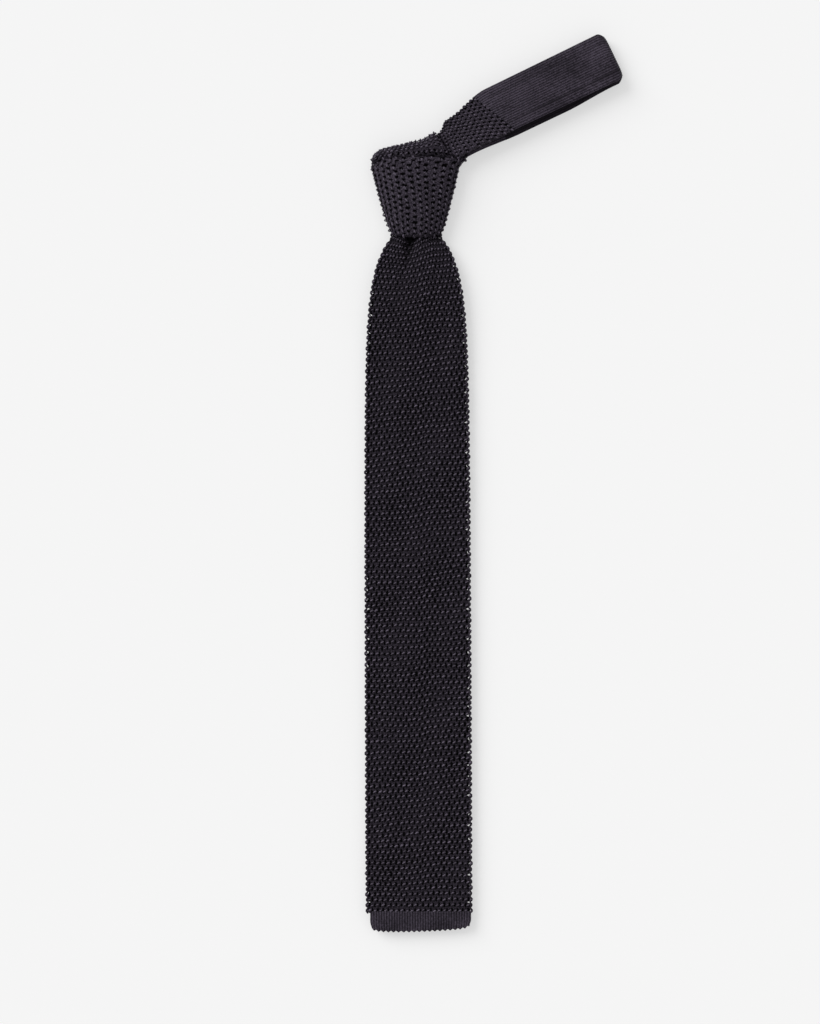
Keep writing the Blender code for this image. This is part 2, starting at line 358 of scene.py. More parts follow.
meshYarn = twistedYarn("meshYarn", *yarn["mesh"])
wrapYarn = twistedYarn("wrapYarn", *yarn["wrap"])
edgeYarn = twistedYarn("edgeYarn", *yarn["edge"])
seamThread = twistedYarn("seamThread", *yarn["thread"])
meshCloth = knitCloth("meshCloth", *cloth["mesh"])
wrapCloth = knitCloth("wrapCloth", *cloth["wrap"])
fineCloth = ribCloth("fineCloth")
print("materials: yarns and cloths are ready")


def mixed(a, b, share):
    return a + (b - a) * share


def smooth(low, high, value):
    # 0 below low, 1 above high, an even S curve between
    share = np.clip((value - low) / (high - low), 0.0, 1.0)
    return share * share * (3 - 2 * share)


def bell(value, half):
    # exp(-(value / half)^2)
    return np.exp(-((value / half) ** 2))


def stack(x, y, z):
    return np.stack(np.broadcast_arrays(x, y, z), axis=-1)


def outward(place, a, t):
    # The surface's unit normal: the cross product of its steps along t and across a.
    step = 1e-4
    along = place(a, t + step) - place(a, t - step)
    across = place(a + step, t) - place(a - step, t)
    normal = np.cross(along, across)
    return normal / np.maximum(np.linalg.norm(normal, axis=-1, keepdims=True), 1e-12)


def addPiece(name, points, faces, material, uv):
    # a smooth mesh with its two pattern coordinates in the UV layer "strand"
    mesh = bpy.data.meshes.new(name)
    mesh.from_pydata(points.reshape(-1, 3).tolist(), [], faces)
    layer = mesh.uv_layers.new(name="strand")
    corner = np.empty(len(mesh.loops), np.int32)
    mesh.loops.foreach_get("vertex_index", corner)
    layer.data.foreach_set("uv", uv.reshape(-1, 2)[corner].astype(np.float32).ravel())
    mesh.shade_smooth()
    mesh.materials.append(material)
    mesh.update()
    piece = bpy.data.objects.new(name, mesh)
    bpy.context.collection.objects.link(piece)
    return piece


def setShade(piece, value, layer="shade"):
    # shade is painted shade, 1 on the raised face of the knit and 0 in its hollows; wide is how open the
    # holes are
    values = piece.data.attributes.get(layer) or piece.data.attributes.new(layer, "FLOAT", "POINT")
    values.data.foreach_set("value", np.asarray(value, np.float32).ravel())


def bothFaces(value):
    # the values of a sheet's upper face, and again in the order of its lower face
    return np.concatenate([value, value[::-1]], axis=0)


def tubes(name, centres, ups, wide, high, sides, material):
    # Yarns as tubes: round each path point a ring of `sides` points, at centre + wide cos(w) side + high
    # sin(w) up, where side = path direction x up. centres and ups are (yarns, points, 3); wide and high are
    # (yarns, points).
    yarns, count = centres.shape[:2]
    ahead = np.gradient(centres, axis=1)
    side = np.cross(ahead, ups)
    side /= np.maximum(np.linalg.norm(side, axis=-1, keepdims=True), 1e-12)
    lift = np.cross(side, ahead)
    lift /= np.maximum(np.linalg.norm(lift, axis=-1, keepdims=True), 1e-12)
    turn = 2 * np.pi * (np.arange(sides) + 0.5) / sides
    rings = (
        centres[:, :, None]
        + side[:, :, None] * (wide[:, :, None] * np.cos(turn))[..., None]
        + lift[:, :, None] * (high[:, :, None] * np.sin(turn))[..., None]
    )
    index = np.arange(yarns * count * sides).reshape(yarns, count, sides)
    beside = np.roll(index, -1, axis=2)
    quads = np.stack([index[:, :-1], index[:, 1:], beside[:, 1:], beside[:, :-1]], axis=-1).reshape(-1, 4)
    ends = np.concatenate([index[:, 0], index[:, -1, ::-1]]).tolist()
    reach = np.linalg.norm(np.diff(centres, axis=1), axis=-1).cumsum(axis=1) / mm
    reach = np.concatenate([np.zeros((yarns, 1)), reach], axis=1)
    uv = np.stack(np.broadcast_arrays(reach[:, :, None], (np.arange(sides) / sides)[None, None]), axis=-1)
    return addPiece(name, rings, quads.tolist() + ends, material, uv)


def closedSheet(name, place, countA, countT, top, bottom, material, span, pattern, trim=None):
    # A cloth with two faces: place(a, t) + top(a, t) normal above and + bottom(a, t) normal below, for a from
    # -span to span and t from 0 to 1, drawn together along its edges by (1 - |a|^12) so that they are round.
    # pattern(a, t) gives the two pattern coordinates; trim(a, t) moves points sideways, to shape the edges.
    flatA = np.linspace(-span, span, countA)[:, None]
    t = np.linspace(0.0, 1.0, countT)[None, :]
    a = flatA + 0.0 * t if trim is None else flatA + trim(flatA, t)
    base = place(a, t)
    normal = outward(place, a, t)
    thin = np.sqrt(np.maximum(1 - np.abs(flatA / span) ** 12, 0.02))
    high, low = top(a, t), bottom(a, t)
    middle = (high + low) / 2
    half = (high - low) / 2 * thin
    upper = base + normal * (middle + half)[..., None]
    lower = base + normal * (middle - half)[..., None]
    ring = np.concatenate([upper, lower[::-1]], axis=0)
    count = ring.shape[0]
    index = np.arange(count * countT).reshape(count, countT)
    beside = np.roll(index, -1, axis=0)
    quads = np.stack([index[:, :-1], index[:, 1:], beside[:, 1:], beside[:, :-1]], axis=-1).reshape(-1, 4)
    left, right = np.arange(countA - 1), np.arange(1, countA)
    under, underNext = count - 1 - left, count - 1 - right
    capStart = np.stack([index[left, 0], index[right, 0], index[underNext, 0], index[under, 0]], axis=-1)
    capEnd = np.stack([index[left, -1], index[under, -1], index[underNext, -1], index[right, -1]], axis=-1)
    faces = np.concatenate([quads, capStart, capEnd]).tolist()
    uv = bothFaces(np.stack(np.broadcast_arrays(*pattern(a, t)), axis=-1))
    piece = addPiece(name, ring, faces, material, uv)
    setShade(piece, np.ones(ring.shape[:2]))
    return piece


stitch = {
    # one stitch of a course, in stitch widths across, course heights along, and millimetres from the face
    "across": (-0.20, 0.00, 0.20, 0.32, 0.50, 0.68),
    "along": (0.10, -0.02, -0.12, 0.02, 0.30, 0.20),
    "depth": (-0.90, -0.42, -0.80, -1.85, -2.30, -1.85),
    "wide": (0.38, 0.46, 0.38, 0.30, 0.30, 0.30),
    "high": (0.40, 0.44, 0.40, 0.34, 0.34, 0.34),
    "barPoints": 3,  # the points of a stitch that make its bar; the others lead to the next bar
    "first": 0.25,  # where the middle of the first bar lies, in stitches
    "sides": 5,
    "jitter": 0.055,
    "depthJitter": 1.5,  # how much more than sideways a stitch strays in depth
    "widthJitter": 3.0,
    "shadeDepth": -1.5,  # a yarn is black at this depth
    "shadeRun": 0.9,  # and fully lit this much above it
}
ground = {
    "depth": -1.40,
    "dip": 0.45,  # how far the upper face sinks at a hole
    "rise": 0.2,  # and how far the lower one rises
    "selvedge": 0.34,  # the ground stops this many stitches from each edge
    "notchPower": 14,
    "notchDrift": (0.6, 0.37),
    "notchEdge": (0.90, 0.965),
    "notchLeft": (0.2, 0.9, 0.11),  # notches come and go along the left edge: from, to, and how often
    "notchStart": (0.02, 0.05),
    "wander": (0.5, 4.0, 31.0, 2.3, 17.0),  # how much the openness varies, and how often across and along
}
edge = {
    "points": 5,  # for each course
    "sides": 6,
    "reach": 0.15,
    "inset": 0.26,
    "alternate": 0.30,
    "uneven": (0.25, 1.7),
    "depth": -1.35,
    "bob": 0.30,
    "swell": 0.07,
    "tall": 1.1,
}


def noShift(a, t):
    return 0.0 * a * t


def fullTone(a, t):
    return 1.0 + 0.0 * a * t


def openKnit(name, place, stitches, courses, step=noShift, scale=1.0, tight=1.0, strand=meshYarn,
             tone=fullTone):
    # Every course is one yarn that runs over a bar, dives into the cloth between bars and comes up to the
    # next one. Alternate courses are half a stitch aside. step(a, t) shifts a course along the strip, in
    # course heights; scale multiplies the depths, tight the yarn's width.
    course = np.arange(courses)[:, None]
    aside = 0.5 * (course % 2)
    y, n, w, h = (
        np.tile(np.array(stitch[key]), stitches)[None, :] + 0.0 * course
        for key in ("along", "depth", "wide", "high")
    )
    x = (np.arange(stitches)[:, None] + stitch["first"] + np.array(stitch["across"])).ravel()[None, :] + aside
    y = y + course
    # the yarn ends after its last bar
    x, y, n, w, h = (value[:, : -stitch["barPoints"]] for value in (x, y, n, w, h))
    noise = chance.normal(0.0, stitch["jitter"], (courses, stitches + 1, 3))
    which = np.clip(np.round(x - stitch["first"] - aside).astype(int), 0, stitches)
    shake = np.take_along_axis(noise, which[..., None].repeat(3, axis=-1), axis=1)
    x = x + shake[..., 0]
    y = y + shake[..., 1]
    n = n + shake[..., 2] * stitch["depthJitter"]
    w = w * (1 + stitch["widthJitter"] * shake[..., 2])
    a = 2 * x / stitches - 1
    t = (y + 0.5) / courses
    t = t + step(a, t) / courses
    up = outward(place, a, t)
    centres = place(a, t) + up * (n * scale * mm)[..., None]
    piece = tubes(name, centres, up, w * tight * mm, h * scale * mm, stitch["sides"], strand)
    # painted shade: the yarn darkens as it dives into the cloth, and by tone(a, t)
    depthShade = np.clip((n - stitch["shadeDepth"]) / stitch["shadeRun"], 0.0, 1.0) * tone(a, t)
    setShade(piece, depthShade[:, :, None].repeat(stitch["sides"], axis=2))
    return piece


def meshGround(name, place, stitches, courses, material, step=noShift, fine=4, thick=1.6, scale=1.0,
               notch=0.0, tone=fullTone):
    # The cloth under the bars, dipping at every hole. Holes are where the lattice cos(2 pi (x - 3/4))
    # cos(pi y) of stitches x and courses y nears 1. notch draws the edges in at every other course, where
    # light comes through.
    def pattern(a, t):
        return t * courses - 0.5 - step(a, t), (a + 1) / 2 * stitches

    def hole(a, t):
        y, x = pattern(a, t)
        return np.clip(np.cos(2 * np.pi * (x - 0.75)) * np.cos(np.pi * y), 0.0, 1.0)

    def top(a, t):
        return (ground["depth"] - ground["dip"] * hole(a, t) ** 2) * scale * mm

    def bottom(a, t):
        return (ground["depth"] * scale - thick + ground["rise"] * hole(a, t)) * mm

    def trim(a, t):
        y = t * courses - 0.5
        drift, often = ground["notchDrift"]
        gaps = np.clip(np.cos(np.pi * (y + drift * np.sin(y * often))), 0.0, 1.0) ** ground["notchPower"]
        inner, outer = ground["notchEdge"]
        low, high, leftOften = ground["notchLeft"]
        side = smooth(inner, outer, a) - smooth(-inner, -outer, a) * smooth(low, high, np.sin(y * leftOften))
        return -notch * gaps * side * smooth(*ground["notchStart"], t)

    span = 1 - 2 * ground["selvedge"] / stitches
    countA, countT = stitches * fine + 1, courses * fine + 1
    piece = closedSheet(name, place, countA, countT, top, bottom, material, span, pattern, trim)
    a = np.linspace(-span, span, countA)[:, None]
    t = np.linspace(0.0, 1.0, countT)[None, :]
    # painted shade from tone(a, t)
    setShade(piece, bothFaces(tone(a, t) + 0.0 * a * t))
    much, acrossOne, alongOne, acrossTwo, alongTwo = ground["wander"]
    wander = 1 + much * np.sin(a * acrossOne + t * alongOne) * np.sin(a * acrossTwo - t * alongTwo)
    setShade(piece, bothFaces(wander), "wide")
    return piece


def selvedge(name, place, stitches, courses, step=noShift, scale=1.0, thick=0.66, tone=fullTone):
    # The two edge yarns: each bulges out by a cosine once for every course, a little unevenly.
    y = np.arange(courses * edge["points"] + 1)[None, :] / edge["points"] - 0.5
    side = np.array((-1.0, 1.0))[:, None]
    much, often = edge["uneven"]
    pulse = np.cos(2 * np.pi * y)
    wave = pulse - edge["alternate"] * side * np.cos(np.pi * y) + much * np.sin(y * often + side)
    a = side * (1 - 2 * (edge["inset"] - edge["reach"] * wave) / stitches)
    t = (y + 0.5) / courses
    t = t + step(a, t) / courses
    depth = (edge["depth"] + edge["bob"] * pulse + 0.0 * side) * scale * mm
    up = outward(place, a, t)
    centres = place(a, t) + up * depth[..., None]
    bulk = (thick + edge["swell"] * pulse + 0.0 * side) * mm
    piece = tubes(name, centres, up, bulk, bulk * edge["tall"], edge["sides"], edgeYarn)
    # painted shade from tone(a, t)
    setShade(piece, tone(a, t)[:, :, None].repeat(edge["sides"], axis=2))
    return piece


def fineSheet(name, place, ribs, courses, countT, thick, relief, shade=fullTone, fine=4):
    # Both faces are ribbed: height = relief (cos(2 pi rib) - 1), and 0.6 of that on the lower face.
    lowerShare = 0.6

    def ridge(a):
        return relief * (np.cos(2 * np.pi * ribs * (a + 1) / 2) - 1)

    def pattern(a, t):
        return t * courses, (a + 1) / 2 * ribs

    def top(a, t):
        return ridge(a) * mm + 0.0 * t

    def bottom(a, t):
        return -(thick + lowerShare * ridge(a)) * mm + 0.0 * t

    countA = int(ribs * fine) + 1
    piece = closedSheet(name, place, countA, countT, top, bottom, fineCloth, 1.0, pattern)
    a = np.linspace(-1, 1, countA)[:, None]
    t = np.linspace(0, 1, countT)[None, :]
    setShade(piece, bothFaces(shade(a, t) + 0.0 * a * t))
    return piece


blade = {
    "top": -24.6 * mm,
    "end": -408.6 * mm,
    "restZ": 6.05 * mm,
    "throatZ": 9.0 * mm,
    "liftRun": 50.0,  # runs are in millimetres down from the knot
    "stitches": 20,
    "courses": 124,
    "tight": 0.88,
    "notch": 0.060,
    "half": 30.1,  # half the width, in millimetres
    "narrowing": ((14.0, 18.0), (3.4, 60.0)),  # at the knot, by how much and over what run
    "middle": (-0.9, 1.5 / 380),  # where the middle line starts, and its slope
    "dimpleAside": (3.6, 0.19),  # how far left of the middle, and how it drifts
    "dimpleSize": (2.6, 16.0),
    "dimpleDepth": 2.6 * mm,
    "dimpleShade": 0.85,
    "lipShade": (0.5, 4.0),
    "arch": (3.0, 10.0, 0.4),  # rise at the knot, its run, and what is left of it further down
    "swell": (0.5, 5.0, 0.02, 60.0),
    "leftClimb": (0.55, 0.45, 0.30, 9.0, 0.82),  # middle, swing, phase, rate, and where it begins to fade
    "rightClimb": (0.60, 0.88),
    "waves": ((0.09, 60.0, 3.0), (0.10, 23.0, -4.0)),  # height, rate along and rate across
    "calm": 0.93,  # the waves fade from here to the end
    "offset": (0.30, 0.2),  # the right half stands this much higher, from the middle to here
    "droop": (2.0, 0.76, 0.22, 0.004, 26.0),  # height, half width, place, drift and run
}
knitSize = (blade["stitches"], blade["courses"])


def bladeHalf(down):
    # Half width `down` millimetres below its top: half less two decaying parts, so it opens like a shoulder.
    return (blade["half"] - sum(much * np.exp(-down / run) for much, run in blade["narrowing"])) * mm


def bladeMiddle(down):
    start, slope = blade["middle"]
    return (start + slope * down) * mm


def bladeDown(t):
    # millimetres below the blade's top
    return (blade["top"] - mixed(blade["top"], blade["end"], t)) / mm


def dimple(x, down):
    # A fold under the knot that drifts to the left: a bell across times a bell down.
    place, drift = blade["dimpleAside"]
    half, run = blade["dimpleSize"]
    return bell(x / mm + place + drift * down, half) * bell(down, run)


def bladeTone(a, t):
    # painted shade: dark in the dimple and just under the knot's lip
    down = bladeDown(t)
    near = np.maximum(down, 0)
    fold = dimple(bladeMiddle(near) + a * bladeHalf(near), down)
    much, run = blade["lipShade"]
    return 1 - blade["dimpleShade"] * fold - much * bell(down, run) * (1 - fold)


def bladeSurface(a, t):
    # Lies flat, lifts by a bell towards the knot, arches across there and is pinched by the dimple.
    y = mixed(blade["top"], blade["end"], t)
    near = np.maximum(bladeDown(t), 0.0)
    x = bladeMiddle(near) + a * bladeHalf(near)
    lift = (blade["throatZ"] - blade["restZ"]) * bell(near, blade["liftRun"])
    rise, run, rest = blade["arch"]
    arch = (rise * np.exp(-near / run) + rest) * mm * a**2
    pinch = blade["dimpleDepth"] * dimple(x, near)
    much, across, along, fade = blade["swell"]
    swell = much * mm * np.sin(a * across + near * along) * np.exp(-near / fade)
    return stack(x, y, blade["restZ"] + lift - arch - pinch + swell)


def bladeStep(a, t):
    # Courses climb to the right: steadily on the right half, by a slope that drifts along the left half.
    # Near the knot they droop towards the dimple, by a tent across times a bell down.
    middle, swing, phase, rate, leftFade = blade["leftClimb"]
    left = (middle + swing * np.cos((t - phase) * rate)) * smooth(1.0, leftFade, t) * np.minimum(a, 0.0)
    climb, rightFade = blade["rightClimb"]
    right = climb * np.maximum(a, 0.0) * smooth(1.0, rightFade, t)
    wave = sum(high * np.sin(t * along + across * a) for high, along, across in blade["waves"])
    calm = smooth(1.0, blade["calm"], t)
    offset, offsetRun = blade["offset"]
    down = (blade["top"] - blade["end"]) * np.maximum(t, 0.0) / mm
    much, half, place, drift, run = blade["droop"]
    droop = much * (half - np.abs(a + place + drift * down)) * bell(down, run)
    return np.maximum(droop, 0.0) - left - right - wave * calm - offset * calm * smooth(0.0, offsetRun, a)


bladeLook = {"step": bladeStep, "tone": bladeTone}
bladeFront = openKnit("bladeFront", bladeSurface, *knitSize, tight=blade["tight"], **bladeLook)
bladeGround = meshGround("bladeGround", bladeSurface, *knitSize, meshCloth, notch=blade["notch"], **bladeLook)
bladeEdge = selvedge("bladeEdge", bladeSurface, *knitSize, **bladeLook)
print("blade: bars, cloth and edges done")

hem = {
    "ribs": 39,
    "courses": 12,
    "rows": 33,
    "start": blade["end"] + 1.2 * mm,
    "end": -417.6 * mm,
    "middle": 1.5 * mm,
    "half": 28.5 * mm,
    "corner": (0.45, 0.9 * mm, 1.4 * mm),  # where it begins, and how far it draws in and up
    "droop": (1.0 * mm, 0.9 * mm),  # in the middle, and from left to right
    "scallop": (0.42 * mm, 0.8),
    "drop": 0.45 * mm,
    "rise": 0.35 * mm,
    "thick": 2.2,
    "relief": 0.10,
    "shade": (0.80, 0.06, 7.0, 2.0),
}


def hemSurface(a, t):
    # Narrower than the blade. Its corners draw in by the fourth power and up by the twelfth power of the
    # distance from the middle, and its end is scalloped by cos(pi rib).
    start, inward, upward = hem["corner"]
    sag, tilt = hem["droop"]
    droop = sag * (1 - a**2) - tilt * a
    x = hem["middle"] + a * (hem["half"] - inward * smooth(start, 1.0, t) ** 2 * np.abs(a) ** 4)
    y = mixed(hem["start"], hem["end"] + upward * np.abs(a) ** 12, t) - droop * t
    deep, from_ = hem["scallop"]
    scallop = deep * np.cos(np.pi * hem["ribs"] * (a + 1) / 2) * smooth(from_, 1.0, t)
    return stack(x, y + scallop, blade["restZ"] - hem["drop"] + hem["rise"] * t + 0.0 * a)


def hemShade(a, t):
    base, much, across, along = hem["shade"]
    return base + much * np.sin(across * a + along * t)


hemSize = (hem["ribs"], hem["courses"], hem["rows"], hem["thick"], hem["relief"])
bladeHem = fineSheet("bladeHem", hemSurface, *hemSize, hemShade, fine=6)

seam = {
    "stitches": 90,
    "start": 0.115,
    "span": 0.88,
    "half": 0.045,
    "depth": -3.28,
    "bob": 0.12,
    "bulk": 0.22 * mm,
    "flat": 1.3,
    "sides": 5,
}


def seamPath():
    # The closing seam down the middle of the back: a zigzag of thread that crosses the join twice in each
    # stitch.
    step = np.arange(seam["stitches"] * 4 + 1)[None, :] / 4
    t = seam["start"] + seam["span"] * step / seam["stitches"]
    a = seam["half"] * np.sin(np.pi * step)
    up = outward(bladeSurface, a, t)
    depth = (seam["depth"] + seam["bob"] * np.cos(2 * np.pi * step)) * mm
    return bladeSurface(a, t) + up * depth[..., None], up


seamCentres, seamUp = seamPath()
seamBulk = np.full(seamCentres.shape[:2], seam["bulk"])
bladeSeam = tubes("bladeSeam", seamCentres, seamUp, seamBulk * seam["flat"], seamBulk, seam["sides"],
                  seamThread)
setShade(bladeSeam, np.ones(len(bladeSeam.data.vertices)))
print("blade: hem and back seam done")

for piece in (bladeFront, bladeGround, bladeEdge):
    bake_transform(piece)
for piece in (bladeHem, bladeSeam):
    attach(piece, "blade")
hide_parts("blade")
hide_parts("blade_hem")
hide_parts("blade_back_seam")

knot = {
    "bottom": -26.6 * mm,
    "top": 19.2 * mm,
    "height": 42 * mm,  # over which the sides flare
    "length": 45 * mm,  # over which the crest rises
    "sideZ": 2.5 * mm,
    "crestZ": (11.5 * mm, 15.8 * mm, 0.55),  # at the lip, at its highest, and the sine's turns
    "squareness": 2.2,
    "stitches": 15,
    "courses": 13,
    "scale": 0.85,
    "tight": 1.10,
    "lipThick": 0.62,
    "thick": 1.0,
    "fine": 6,
    "even": 0.45,  # how much the courses crowd towards the sides
    "lean": 0.20,  # and how much they lean to the left
    "lip": 1.6 * mm,
    "crease": (0.9 * mm, 3.0 * mm, 0.80),  # rise in the middle, and drop at the left side from here
    "left": (15.8, 12.7, 0.80),  # half width at the lip, flare and its power
    "right": (14.1, 11.5, 0.80),
    "corners": (2.4 * mm, 3.0 * mm, 0.93),  # the left one draws in and the right one out, from here
    "ripple": 0.30 * mm,
    "tuck": (1.9 * mm, 0.80, 0.3, 1.6 * mm, 0.93),
    "fold": (0.5 * mm, 9.0, 1.5),
    "lowest": 1.6 * mm,
    "step": (0.35, 2.2, 5.0),
    "creaseShade": (0.12, 0.68, 0.90, 0.99),
    "lipShade": (0.25, 0.9),
}


def knotEdge(share, base, flare, power):
    # half width: base + flare share^power
    return (base + flare * np.clip(share, 0.0, 1.1) ** power) * mm


def knotSection(across, share):
    # Height of the front wrap: an arch (1 - |c|^p)^(1/p) over the width, with a crest that rises as a sine
    # upwards.
    low, high, turns = knot["crestZ"]
    crest = mixed(low, high, np.sin(np.clip(share, 0.0, 1.05) * np.pi * turns))
    power = knot["squareness"]
    arch = np.maximum(1 - np.abs(across) ** power, 0.0) ** (1 / power)
    return knot["sideZ"] + (crest - knot["sideZ"]) * arch


def knotSurface(a, t):
    # t runs from the left side over the crest to the right side, a from the lower lip up to the crease. The
    # sides flare by a power of the height; tucks sink the crease and the lip, and a faint fold runs across.
    turned = mixed(t, (1 - np.cos(np.pi * np.clip(t, 0, 1))) / 2, knot["even"])
    share = mixed(turned, turned**2, knot["lean"])
    across = 2 * share - 1
    rise, drop, dropFrom = knot["crease"]
    lip = knot["bottom"] - knot["lip"] * (1 - across**2)
    crease = knot["top"] + rise * (1 - across**2) - drop * smooth(dropFrom, 1.02, -across)
    y = mixed(lip, crease, (a + 1) / 2)
    up = (y - knot["bottom"]) / knot["height"]
    inward, outwards, cornerFrom = knot["corners"]
    corner = smooth(cornerFrom, 1.03, up)
    left = knotEdge(up, *knot["left"]) - inward * corner
    right = knotEdge(up, *knot["right"]) + outwards * corner
    ripple = knot["ripple"] * np.cos(2 * np.pi * knot["stitches"] * (a + 1) / 2) * across**9
    x = mixed(-left, right, share) + ripple
    z = knotSection(across, (y - knot["bottom"]) / knot["length"])
    sink, sinkFrom, even, lipSink, lipFrom = knot["tuck"]
    tuck = sink * smooth(sinkFrom, 1.0, a) * (1 - even * across**2) + lipSink * smooth(lipFrom, 1.0, -a)
    high, acrossRate, upRate = knot["fold"]
    fold = high * np.sin(across * acrossRate + a * upRate) * (1 - across**2)
    return stack(x, y, np.maximum(z - tuck + fold, knot["lowest"]))


def knotStep(a, t):
    much, across, along = knot["step"]
    return much * np.sin(across * a + along * t) * np.sin(np.pi * np.clip(t, 0, 1))


def knotTone(a, t):
    # the crease under the top wrap is in shade, more so to the right, and so is the lip
    base, more, low, high = knot["creaseShade"]
    much, lipFrom = knot["lipShade"]
    return 1 - (base + more * np.clip(t, 0, 1)) * smooth(low, high, a) - much * smooth(lipFrom, 1.0, -a)


knotSize = (knot["stitches"], knot["courses"])
knotLook = {"step": knotStep, "tone": knotTone}
knotYarns = {"scale": knot["scale"], "tight": knot["tight"], "strand": wrapYarn}
knotFront = openKnit("knotFront", knotSurface, *knotSize, **knotYarns, **knotLook)
knotGround = meshGround("knotGround", knotSurface, *knotSize, wrapCloth, fine=knot["fine"],
                        thick=knot["thick"], **knotLook)
knotLips = selvedge("knotLips", knotSurface, *knotSize, thick=knot["lipThick"], **knotLook)

wrap = {
    "stitches": 15,
    "courses": 12,
    "scale": 0.9,
    "tight": 1.2,
    "thick": 0.9,
    "fine": 6,
    "yarnSpan": 0.95,  # the yarns stop just short of the ends of the cloth beneath them
    "left": -27.4 * mm,
    "right": (19.5 * mm, 11.2 * mm),  # at the crease, and where it rolls over
    "reach": (23.3 * mm, 0.235, 20 * mm),  # outline: height this far left of the middle, and slope
    "bump": (2.4 * mm, 9 * mm, 4 * mm),
    "falls": ((2.6 * mm, -21 * mm, -27 * mm), (3.5 * mm, -25 * mm, -27.6 * mm)),
    "crest": (14.8 * mm, 0.008 / mm, 4 * mm),
    "low": 0.9 * mm,
    "start": (16.6 * mm, 1.2 * mm, 24 * mm),
    "startFall": (2.2 * mm, -20 * mm, -27 * mm),
    "roundness": 0.72,
    "ripple": 0.30 * mm,
    "sink": (1.2 * mm, 0.16),
    "creaseShade": (0.35, 0.06, 0.01),
    "endShade": (0.1, 0.9),
}


def topSurface(a, t):
    # Rolls over the knot's upper edge, from the crease to the back; its right end slants along the strap.
    # Across, the roll follows half a turn: sideways by a power of its sine and down by its cosine.
    turn = np.pi * t
    right = mixed(*wrap["right"], np.clip(np.sin(turn), 0, 1))
    x = mixed(right, wrap["left"], (a + 1) / 2)
    height, slope, measured = wrap["reach"]
    bump, bumpX, bumpHalf = wrap["bump"]
    reach = height + slope * (x + measured) + bump * bell(x - bumpX, bumpHalf)
    reach = reach - sum(much * smooth(low, high, x) for much, low, high in wrap["falls"])
    crestZ, crestBend, crestX = wrap["crest"]
    crest = crestZ - crestBend * (x + crestX) ** 2
    startY, startRise, startHalf = wrap["start"]
    fall, fallLow, fallHigh = wrap["startFall"]
    start = startY + startRise * np.clip(1 - (x / startHalf) ** 2, 0, 1) - fall * smooth(fallLow, fallHigh, x)
    bulge = np.maximum(np.sin(turn), 0.0) ** wrap["roundness"]
    ripple = wrap["ripple"] * np.cos(2 * np.pi * wrap["stitches"] * (a + 1) / 2) * bulge**9
    y = start + (reach - start) * bulge + ripple
    sink, sinkRun = wrap["sink"]
    z = (crest + wrap["low"]) / 2 + (crest - wrap["low"]) / 2 * np.cos(turn) - sink * smooth(sinkRun, 0.0, t)
    return stack(x, y, z)


def topYarnPlace(a, t):
    return topSurface(wrap["yarnSpan"] * a, t)


def topTone(a, t):
    # shaded at the crease and at the end beside the strap
    much, high, low = wrap["creaseShade"]
    endMuch, endFrom = wrap["endShade"]
    return 1 - much * smooth(high, low, t) - endMuch * smooth(endFrom, 1.0, -a)


topSize = (wrap["stitches"], wrap["courses"])
topWrap = openKnit("topWrap", topYarnPlace, *topSize, scale=wrap["scale"], tight=wrap["tight"],
                   strand=wrapYarn, tone=topTone)
topGround = meshGround("topGround", topSurface, *topSize, wrapCloth, fine=wrap["fine"], thick=wrap["thick"],
                       scale=wrap["scale"], tone=topTone)

inside = {
    "backY": (-24.5 * mm, 15.5 * mm),
    "backZ": 0.10 * mm,
    "backLeft": (13.2, 12.0, 0.90),
    "backRight": (11.8, 11.0, 0.85),
    "backKnit": (14, 12, 49, 1.9, 0.10),  # ribs, courses, rows, thickness and relief, as for the next two
    "coreY": (-23.0 * mm, 15.0 * mm),
    "coreSpan": 0.84,
    "coreSink": 3.4 * mm,
    "coreLowest": 5.0 * mm,
    "coreKnit": (20, 12, 25, 0.35, 0.08),
    "throatY": (12.0 * mm, -27.0 * mm),
    "throatSpan": 0.62,
    "throatSink": 3.05 * mm,
    "throatKnit": (16, 14, 29, 0.22, 0.05),
    "half": (13.6, 11.8, 0.87),
}


def backSurface(a, t):
    # The wrap that crosses the back of the knot, flat on the table; its outer face looks down.
    y = mixed(*inside["backY"], (1 - a) / 2)
    up = (y - knot["bottom"]) / knot["height"]
    x = mixed(-knotEdge(up, *inside["backLeft"]), knotEdge(up, *inside["backRight"]), t)
    return stack(x, y, inside["backZ"] + 0.0 * x)


def coreSurface(a, t):
    # The layers inside the knot, an arch that fills the space under the front wrap; a runs from left to
    # right.
    y = mixed(*inside["coreY"], t)
    share = (y - knot["bottom"]) / knot["length"]
    across = inside["coreSpan"] * a
    z = np.maximum(knotSection(across, share) - inside["coreSink"], inside["coreLowest"])
    return stack(across * knotEdge(share, *inside["half"]), y, z + 0.0 * a)


def throatSurface(a, t):
    # The gathered blade on its way through the knot, a narrower arch just above the core.
    y = mixed(*inside["throatY"], t)
    share = (y - knot["bottom"]) / knot["length"]
    across = inside["throatSpan"] * a
    x = across * knotEdge(share, *inside["half"])
    return stack(x, y, knotSection(across, share) - inside["throatSink"])


backWrap = fineSheet("backWrap", backSurface, *inside["backKnit"])
knotCore = fineSheet("knotCore", coreSurface, *inside["coreKnit"], fine=2)
throat = fineSheet("throat", throatSurface, *inside["throatKnit"], fine=2)
print("knot: wraps, core and throat done")

for piece in (knotFront, knotGround, knotLips, topWrap, topGround, backWrap, knotCore, throat):
    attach(piece, "knot")
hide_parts("knot_front_wrap")
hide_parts("knot_top_wrap")
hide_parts("knot_back_wrap")
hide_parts("knot_core")
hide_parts("blade_throat")

